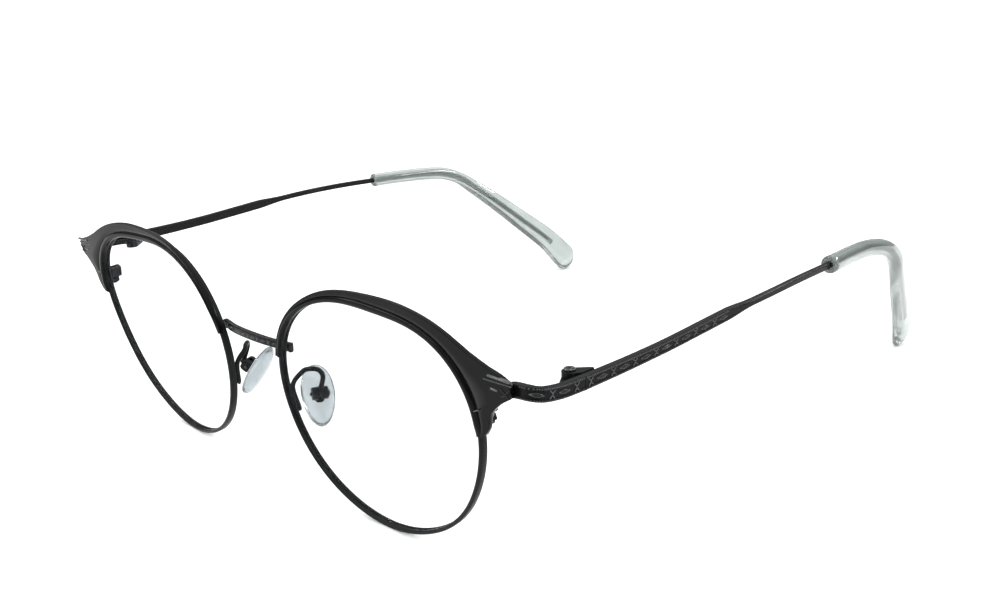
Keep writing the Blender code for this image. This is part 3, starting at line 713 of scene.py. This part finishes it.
def make_endpiece(side, word):
    path = smooth_path(list(END_ROOT) + [vec(p) for p in ENDPIECE_LINE_WORLD], 14)
    fr = frames(path)
    rings = []
    for i, f in enumerate(fr):
        t = i / (len(fr) - 1)
        h = 2.3 + (BAR_H0 - 2.3) * min(1.0, t * 1.8)
        rings.append(mirrored(section(f, bar_outline(BAR_T, h, 0.15)), side))
    add("endpiece_bar_" + word, *loft(rings), ENGRAVED, "front", ["endpiece_" + word], "engraved_black_metal", smooth=38)
    k = 3 * 14 - 6
    beads, bosses, marks = ornament(path[k:], lambda v: BAR_H0 + 0.05, 0.2, 5.2, 2.0, 0.0, mark_first=False)
    pts, faces = merge(beads + bosses)
    add("endpiece_beads_" + word, mirrored(pts, side), faces, BRIGHT, "front", (), "engraved_black_metal", smooth=60)
    if marks:
        pts, faces = merge(marks)
        add("endpiece_marks_" + word, mirrored(pts, side), faces, BRIGHT, "front", (), "engraved_black_metal", smooth=60)


def make_temple(side, word):
    body = "temple_" + word
    per = 12
    path = spline(TEMPLE_LINE, per)
    fr = frames(path)
    bar_last, tip_first, wire_last = 4 * per, 7 * per, 15 * per
    rings = []
    for i in range(0, wire_last + 1):
        t = min(1.0, i / bar_last)
        h = BAR_H0 + (BAR_H1 - BAR_H0) * min(1.0, t * 2.5)
        flat = bar_outline(BAR_T, h, 0.15)
        if i <= bar_last - per * 0.35:
            out = flat
        else:
            k = min(1.0, (i - (bar_last - per * 0.35)) / (0.8 * per))
            k = k * k * (3 - 2 * k)
            r = WIRE_R - 0.12 * max(0.0, (i - tip_first) / (wire_last - tip_first))
            out = []
            for a, b in flat:
                ang = math.atan2(b * BAR_T / h, a)
                out.append((a * (1 - k) + r * math.cos(ang) * k, b * (1 - k) + r * math.sin(ang) * k))
        rings.append(mirrored(section(fr[i], out), side))
    add("temple_bar_" + word, *loft(rings), ENGRAVED, body, ["temple_arm_" + word], "engraved_black_metal", smooth=38)
    bar = path[:bar_last + 1]

    def height(v):
        return BAR_H0 + (BAR_H1 - BAR_H0) * min(1.0, v / 39.0 * 2.5)

    beads, bosses, marks = ornament(bar, height, 0.25, 5.15, 0.9, 3.0, mark_first=True)
    pts, faces = merge(beads + bosses)
    add("temple_beads_" + word, mirrored(pts, side), faces, BRIGHT, body, (), "engraved_black_metal", smooth=60)
    pts, faces = merge(marks)
    add("temple_marks_" + word, mirrored(pts, side), faces, BRIGHT, body, (), "engraved_black_metal", smooth=60)

    # clear tip with its bore; the wire shows through it
    n = 28
    last = len(fr) - 1
    outer = []
    for i in range(tip_first, last + 1):
        t = (i - tip_first) / (last - tip_first)
        grow = max(0.0, (t - 0.42) / 0.58)
        outer.append((twisted(fr[i], TIP_TWIST * min(1.0, 2.0 * grow)), TIP_R - 0.42 * min(1.0, grow * 1.6), TIP_R + TIP_GROW * grow ** 1.3, 2.0 + 0.5 * grow))
    first = outer[0]
    rings = []
    for lead, share in ((-0.38, 0.72), (-0.36, 0.80), (-0.28, 0.90), (-0.15, 0.97)):
        f = (first[0][0] + first[0][3] * lead, first[0][1], first[0][2], first[0][3])
        rings.append(section(f, oval(first[1] * share, first[2] * share, n)))
    for f, a, b, q in outer:
        rings.append(section(f, oval(a, b, n, q)))
    p, s, h, tan = outer[-1][0]
    for k in range(1, 12):
        ang = math.pi / 2 * k / 11.3
        f = (p + tan * 3.1 * math.sin(ang), s, h, tan)
        rings.append(section(f, oval(outer[-1][1] * math.cos(ang) ** 0.6, outer[-1][2] * math.cos(ang) ** 0.9, n, 2.4)))
    f = (first[0][0] + first[0][3] * -0.38, first[0][1], first[0][2], first[0][3])
    bore = [section(f, oval(TIP_BORE_R, TIP_BORE_R, n))]
    for i in range(tip_first, wire_last + 3):
        r = TIP_BORE_R - 0.04
        bore.append(section(fr[min(i, last)], oval(r, r, n)))
    rings = [mirrored(r, side) for r in rings]
    bore = [mirrored(r, side) for r in bore]
    pts = [q for ring in rings for q in ring]
    base = len(pts)
    pts += [q for ring in bore for q in ring]
    faces = []
    for i in range(len(rings) - 1):
        for k in range(n):
            l = (k + 1) % n
            faces.append((i * n + k, i * n + l, (i + 1) * n + l, (i + 1) * n + k))
    faces.append(tuple((len(rings) - 1) * n + k for k in range(n)))
    for i in range(len(bore) - 1):
        for k in range(n):
            l = (k + 1) % n
            faces.append((base + i * n + k, base + (i + 1) * n + k, base + (i + 1) * n + l, base + i * n + l))
    faces.append(tuple(base + (len(bore) - 1) * n + k for k in range(n))[::-1])
    for k in range(n):
        l = (k + 1) % n
        faces.append((k, base + k, base + l, l))
    add("tip_sleeve_" + word, pts, faces, TIP_MAT, body, ["temple_tip_" + word], "grey_green_translucent_tip", smooth=50)


# ---------------------------------------------------------------- hinges
Z_LOW, Z_A, Z_B, Z_TOP = -1.45, -0.48, 0.42, 1.42
LEAF_OUT = BAR_X - BAR_T / 2 - SOLDER_GAP - HINGE_X
LEAF_IN = KNUCKLE_R + 0.14


def make_hinge(side, word):
    def place(x, y, z):
        return (side * (HINGE_X + x), HINGE_Y + y, HINGE_Z + z)

    ring = [(KNUCKLE_R * math.cos(2 * math.pi * k / 40), KNUCKLE_R * math.sin(2 * math.pi * k / 40)) for k in range(40)]
    front = hull(ring + [(LEAF_OUT, -0.25), (LEAF_OUT, -4.2), (LEAF_OUT - 0.55, -4.2)])
    add("hinge_front_" + word, *holed_plate(front, BORE_R, Z_A, Z_B, place, 32), SATIN, "front", ["hinge_front_leaf_" + word], "satin_charcoal_metal", smooth=30, bevel=0.07)
    prong = hull(ring + [(LEAF_OUT, 0.45), (LEAF_OUT, 3.2), (LEAF_OUT - 0.5, 3.2)])
    low = holed_plate(prong, BORE_R, Z_LOW, Z_A - 0.06, place, 32)
    high = holed_plate(prong, BORE_R, Z_B + 0.06, Z_TOP, place, 32)
    y0, y1, x0, x1 = 0.62, 3.4, LEAF_IN, LEAF_OUT - 0.01
    web = [place(x, y, z) for z in (Z_LOW + 0.02, Z_TOP - 0.02) for x, y in ((x0, y0), (x1, y0), (x1, y1), (x0, y1))]
    box_faces = [(0, 3, 2, 1), (4, 5, 6, 7), (0, 1, 5, 4), (1, 2, 6, 5), (2, 3, 7, 6), (3, 0, 4, 7)]
    pts, faces = merge([low, high, (web, box_faces)])
    add("hinge_rear_" + word, pts, faces, SATIN, "temple_" + word, ["hinge_temple_leaf_" + word], "satin_charcoal_metal", smooth=30, bevel=0.07)
    head_screw("hinge_pin_" + word, place, Z_TOP + 0.42, 0.92, SCREW_R, Z_LOW - 0.05, "front", ["hinge_screw_" + word])


def head_screw(name, place, top, radius, shank, end, body, nodes, flip=1.0):
    """A screw whose slotted head is turned, with the slot cut as a trench across it."""
    n = 36
    prof = [(shank * 0.55, end), (shank, end + 0.12 * flip), (shank, top - 0.36 * flip), (radius * 0.97, top - 0.36 * flip), (radius, top - 0.30 * flip),
            (radius, top - 0.10 * flip), (radius * 0.95, top - 0.03 * flip), (radius * 0.86, top)]
    rings = [[(r * math.cos(2 * math.pi * k / n), r * math.sin(2 * math.pi * k / n), z) for k in range(n)] for r, z in prof]
    # the top is closed by rows across the head, lowered along the slot
    cap = [(0.6, 0.0), (0.30, 0.0), (0.05, 0.0)]
    for share, dz in cap:
        row = []
        for k in range(n):
            x = radius * share * math.cos(2 * math.pi * k / n)
            y = radius * share * math.sin(2 * math.pi * k / n)
            deep = 0.16 * flip if abs(y) < 0.15 else 0.0
            row.append((x, y, top - deep))
        rings.append(row)
    pts, faces = loft([[place(*q) for q in ring] for ring in rings])
    add(name, pts, faces, STEEL, body, nodes, "blackened_screw_steel", smooth=30)


# ---------------------------------------------------------------- closing blocks
def make_closing(side, word):
    p0, radial, tang, fwd = lens_frame(math.radians(SPLIT_PHI), 0.92, -1.55)

    def place(x, y, z):
        q = p0 + radial * x - fwd * y + tang * z
        return (side * q[0], q[1], q[2])

    back = RIM_D / 2 + SOLDER_GAP - 1.55
    upper = [(-0.86, back), (0.86, back), (0.86, 1.30), (0.60, 1.56), (-0.60, 1.56), (-0.86, 1.30)]
    lower = [(-0.86, back), (0.86, back), (0.86, 0.62), (0.64, 0.84), (-0.64, 0.84), (-0.86, 0.62)]
    add("block_upper_" + word, *holed_plate(upper, 0.40, 0.08, 2.25, place, 24), SATIN, "front", ["closing_block_upper_" + word], "satin_charcoal_metal", smooth=30, bevel=0.09)
    add("block_lower_" + word, *holed_plate(lower, 0.40, -1.10, -0.08, place, 24), SATIN, "front", ["closing_block_lower_" + word], "satin_charcoal_metal", smooth=30, bevel=0.09)
    head_screw("block_screw_" + word, place, -1.50, 0.62, 0.34, 2.12, "front", ["closing_screw_" + word], flip=-1.0)


# ---------------------------------------------------------------- bridge
def make_bridge():
    half = [(0.0, -1.85, 28.85), (4.2, -1.65, 28.80), (7.6, -1.05, 28.65), (9.4, -0.60, 28.60), (11.0, -0.44, 28.55)]
    line = [(-x, y, z) for x, y, z in half[:0:-1]] + half
    path = spline(line, 12)
    rings = []
    fr = frames(path)
    for i, f in enumerate(fr):
        t = abs(2 * i / (len(fr) - 1) - 1)
        h = BRIDGE_H + 0.35 * t ** 6
        w = BRIDGE_T - 0.1 * t
        a, b = w / 2, h / 2
        out = [(a - 0.04, -b + 0.1), (a, -b + 0.2), (a, b - 0.2), (a - 0.04, b - 0.08), (a - 0.14, b), (-a + 0.2, b), (-a + 0.06, b - 0.06), (-a, b - 0.2), (-a, -b + 0.2),
               (-a + 0.06, -b + 0.06), (-a + 0.2, -b), (a - 0.14, -b)]
        if i in (0, len(fr) - 1):
            out = [(x * 0.8, y * 0.8) for x, y in out]
        rings.append(section(f, out))
    add("bridge_bar", *loft(rings), ENGRAVED, "front", ["bridge"], "engraved_black_metal", smooth=38)
    fine, s = resample(path, 0.05)
    fr = frames(fine)
    parts = []
    v = 3.3
    k = 0
    while v < s[-1] - 3.3:
        i = int(round(v / s[-1] * (len(fine) - 1)))
        p, sd, up, t = fr[i]
        c = p + sd * (BRIDGE_T / 2 - 0.03)
        if k % 4 == 0:
            parts.append(boss(c, t, up, sd, 0.85, 0.26, 0.12, n=12))
        elif k % 4 == 2:
            for x0, y0, x1, y1 in ((-0.32, 0.34, 0.0, 0.04), (0.32, 0.34, 0.0, 0.04), (-0.32, -0.34, 0.0, -0.04), (0.32, -0.34, 0.0, -0.04)):
                parts.append(stroke(c + t * x0 + up * y0, c + t * x1 + up * y1, sd, 0.16, 0.09))
        v += 0.75
        k += 1
    v = 2.4
    while v < s[-1] - 2.4:
        i = int(round(v / s[-1] * (len(fine) - 1)))
        p, sd, up, t = fr[i]
        parts.append(bead(p + up * (BRIDGE_H / 2) + sd * 0.28, t, sd, up, 0.10))
        v += 0.32
    pts, faces = merge(parts)
    add("bridge_ornament", pts, faces, BRIGHT, "front", (), "engraved_black_metal", smooth=60)


# ---------------------------------------------------------------- nose pads
A = unit(PAD_AXIS)
F = unit(vec(PAD_FACE) - A * (vec(PAD_FACE) @ A))
W = np.cross(A, F)
PAD_PIVOT = vec(PAD_CENTRE) - F * (PAD_T / 2 + 1.12)


def make_pad(side, word):
    def at(w, a, f):
        q = PAD_PIVOT + W * w + A * a + F * f
        return (side * q[0], q[1], q[2])

    def tab(x, y, z):
        return at(z, x, y)

    f0 = 1.12
    n = 56
    rows = []
    for share, f in ((0.05, 0.02), (0.45, 0.0), (0.80, 0.0), (0.90, 0.05), (0.965, 0.22), (0.995, 0.48), (1.0, 0.72), (0.98, 1.05), (0.93, 1.35), (0.84, 1.62), (0.70, 1.88),
                     (0.52, 2.08), (0.32, 2.22), (0.12, PAD_T - 0.01), (0.02, PAD_T)):
        rows.append([at(PAD_W / 2 * share * math.cos(t) * (1 - 0.10 * math.sin(t)), PAD_L / 2 * share * math.sin(t), f0 + f) for t in (2 * math.pi * k / n for k in range(n))])
    body = "nose_rest_" + word
    add("pad_cushion_" + word, *loft(rows), PAD_MAT, body, ["nose_pad_" + word], "clear_pad_silicone", smooth=60)

    tab_out = [(-0.72, 0.90), (-0.72, -0.30), (-0.60, -0.55), (-0.35, -0.70), (0.35, -0.70), (0.60, -0.55), (0.72, -0.30), (0.72, 0.90)]
    hole = holed_plate(tab_out, 0.40, -0.42, 0.42, tab, 24)
    rings = []
    for y, s in ((0.86, 0.9), (0.90, 1.0), (f0 - 0.06, 1.0), (f0 - 0.02, 0.94)):
        rings.append([tab(1.5 * s * cx, y, 0.95 * s * cz) for cx, cz in oval(1.0, 1.0, 28, 3.2)])
    pts, faces = merge([hole, loft(rings)])
    add("pad_tab_" + word, pts, faces, STEEL, body, ["pad_mount_" + word], "blackened_screw_steel", smooth=35, bevel=0.03)

    bw, bl, bd = PAD_BOX
    ear = [(-bl / 2, 0.40), (-bl / 2 + 0.25, 0.62), (bl / 2 - 0.25, 0.62), (bl / 2, 0.40), (bl / 2, -0.75), (bl / 2 - 0.3, -bd + 0.62), (-bl / 2 + 0.3, -bd + 0.62), (-bl / 2, -0.75)][::-1]
    e1 = holed_plate(ear, 0.40, 0.50, bw / 2, tab, 24)
    e2 = holed_plate(ear, 0.40, -bw / 2, -0.50, tab, 24)
    x0, y0, x1, y1 = -bl / 2 + 0.02, -bd + 0.64, bl / 2 - 0.02, -0.86
    web = [tab(x, y, z) for z in (-bw / 2 + 0.02, bw / 2 - 0.02) for x, y in ((x0 + 0.3, y0), (x1 - 0.3, y0), (x1, y1), (x0, y1))]
    box_faces = [(0, 3, 2, 1), (4, 5, 6, 7), (0, 1, 5, 4), (1, 2, 6, 5), (2, 3, 7, 6), (3, 0, 4, 7)]
    pts, faces = merge([e1, e2, (web, box_faces)])
    add("pad_cup_" + word, pts, faces, SATIN, "front", ["pad_box_" + word], "satin_charcoal_metal", smooth=30, bevel=0.06)

    head_screw("pad_pin_" + word, tab, bw / 2 + 0.42, 0.58, 0.33, -bw / 2 - 0.36, "front", ["pad_screw_" + word])

    foot = lens_point(math.radians(183.0), 0.42, -RIM_D / 2 - SOLDER_GAP - ARM_R)
    foot_low = lens_point(math.radians(194.0), 0.42, -RIM_D / 2 - SOLDER_GAP - ARM_R)
    end = PAD_PIVOT + F * (-bd + 0.62 - ARM_R)
    line = [foot_low, foot] + [vec(p) for p in ARM_LINE] + [end - A * 0.3, end + A * 0.8]
    path = spline(line, 14)
    rings = []
    fr = frames(path, up=(0.9, -0.3, 0.15))
    for i, f in enumerate(fr):
        edge = min(i, len(fr) - 1 - i)
        r = ARM_R * (1.0 if edge > 2 else (0.55, 0.82, 0.95)[edge])
        rings.append(mirrored(section(f, oval(r, r, 18)), side))
    add("pad_wire_" + word, *loft(rings), SATIN, "front", ["pad_arm_" + word], "satin_charcoal_metal", smooth=50)


for side, word in SIDES:
    make_rim(side, word)
    make_lens(side, word)
    make_brow(side, word)
    make_closing(side, word)
    make_endpiece(side, word)
    make_hinge(side, word)
    make_temple(side, word)
    make_pad(side, word)
make_bridge()


# ---------------------------------------------------------------- floor, light and camera
def build_stage():
    mesh = bpy.data.meshes.new("floor")
    bm = bmesh.new()
    bmesh.ops.create_grid(bm, x_segments=24, y_segments=24, size=6.0)
    bm.to_mesh(mesh)
    bm.free()
    floor = bpy.data.objects.new("floor", mesh)
    floor.location = (0, 0, -0.0001)
    bpy.context.scene.collection.objects.link(floor)
    m, nt, b = nodes_of("pale_floor")
    cloud = noise(nt, 3.0, 2.0)
    c = ramp(nt, cloud.outputs["Fac"], 0.3, 0.7, (0.93, 0.93, 0.93), (0.95, 0.95, 0.95))
    nt.links.new(c, b.inputs["Base Color"])
    b.inputs["Roughness"].default_value = 0.9
    b.inputs["Specular IOR Level"].default_value = 0.1
    mesh.materials.append(m)


def area(name, loc, target, size, power, colour=(1, 1, 1)):
    data = bpy.data.lights.new(name, "AREA")
    data.shape = "RECTANGLE"
    data.size, data.size_y = size
    data.energy = power
    data.color = colour
    obj = bpy.data.objects.new(name, data)
    obj.location = loc
    obj.rotation_euler = (Vector(target) - Vector(loc)).to_track_quat("-Z", "Y").to_euler()
    bpy.context.scene.collection.objects.link(obj)
    return obj


build_stage()
area("top_soft", (0.05, 0.0, 0.75), (0, 0, 0.02), (0.9, 0.9), 1.2)
area("side_strip", (-0.35, -0.55, 0.35), (0, -0.05, 0.03), (0.5, 0.08), 2.4)
area("rear_strip", (0.35, 0.55, 0.40), (0.02, 0.0, 0.03), (0.6, 0.06), 2.4)

world = bpy.data.worlds.new("studio")
world.use_nodes = True
bg = world.node_tree.nodes["Background"]
# a bright ceiling over dark walls, as in a tent with its sides down
wt = world.node_tree
wc = wt.nodes.new("ShaderNodeTexCoord")
ws = wt.nodes.new("ShaderNodeSeparateXYZ")
wr = wt.nodes.new("ShaderNodeValToRGB")
wr.color_ramp.elements[0].position = 0.22
wr.color_ramp.elements[0].color = (0.10, 0.10, 0.10, 1)
wr.color_ramp.elements[1].position = 0.62
wr.color_ramp.elements[1].color = (1.0, 1.0, 1.0, 1)
wt.links.new(wc.outputs["Generated"], ws.inputs["Vector"])
wt.links.new(ws.outputs["Z"], wr.inputs["Fac"])
wt.links.new(wr.outputs["Color"], bg.inputs["Color"])
bg.inputs["Strength"].default_value = 1.5
bpy.context.scene.world = world
bpy.context.scene.view_settings.view_transform = "Standard"

cam_data = bpy.data.cameras.new("camera")
cam_data.lens = 41.4
cam_data.sensor_width = 36.0
cam_data.clip_start = 0.01
cam = bpy.data.objects.new("camera", cam_data)
cam.location = ((176.18 + ROW_SHIFT[0]) * MM, (-107.45 + ROW_SHIFT[1]) * MM, (96.10 + ROW_SHIFT[2]) * MM)
cam.rotation_euler = tuple(math.radians(v) for v in (72.703, 2.084, 45.486))
bpy.context.scene.collection.objects.link(cam)
bpy.context.scene.camera = cam
